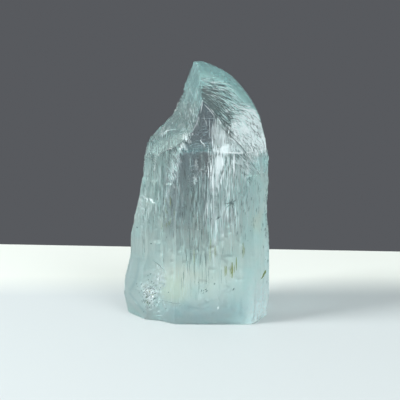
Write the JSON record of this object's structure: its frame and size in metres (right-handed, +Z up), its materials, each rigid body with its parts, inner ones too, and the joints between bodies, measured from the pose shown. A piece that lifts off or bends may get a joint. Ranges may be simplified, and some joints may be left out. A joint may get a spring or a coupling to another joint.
{
  "type": "blue topaz crystal",
  "caption": "Natural pale blue prismatic crystal with striated sides and a broken, leaning chisel-shaped top, standing on its flat cleaved base.",
  "frame": {"origin": "middle of the flat base on which the crystal stands", "axes": "+Z up along the crystal's long axis, +X to the right of its front face, +Y to its back"},
  "size_m": [0.0262, 0.0178, 0.0446],
  "materials": {
    "topaz": "vitreous, pale blue-green, translucent with a clear window",
    "veil": "white internal cracks and veils, satin",
    "iron_stain": "dull ochre mineral stain"
  },
  "bodies": {
    "root": {"crystal": "topaz"}
  },
  "joints": []
}
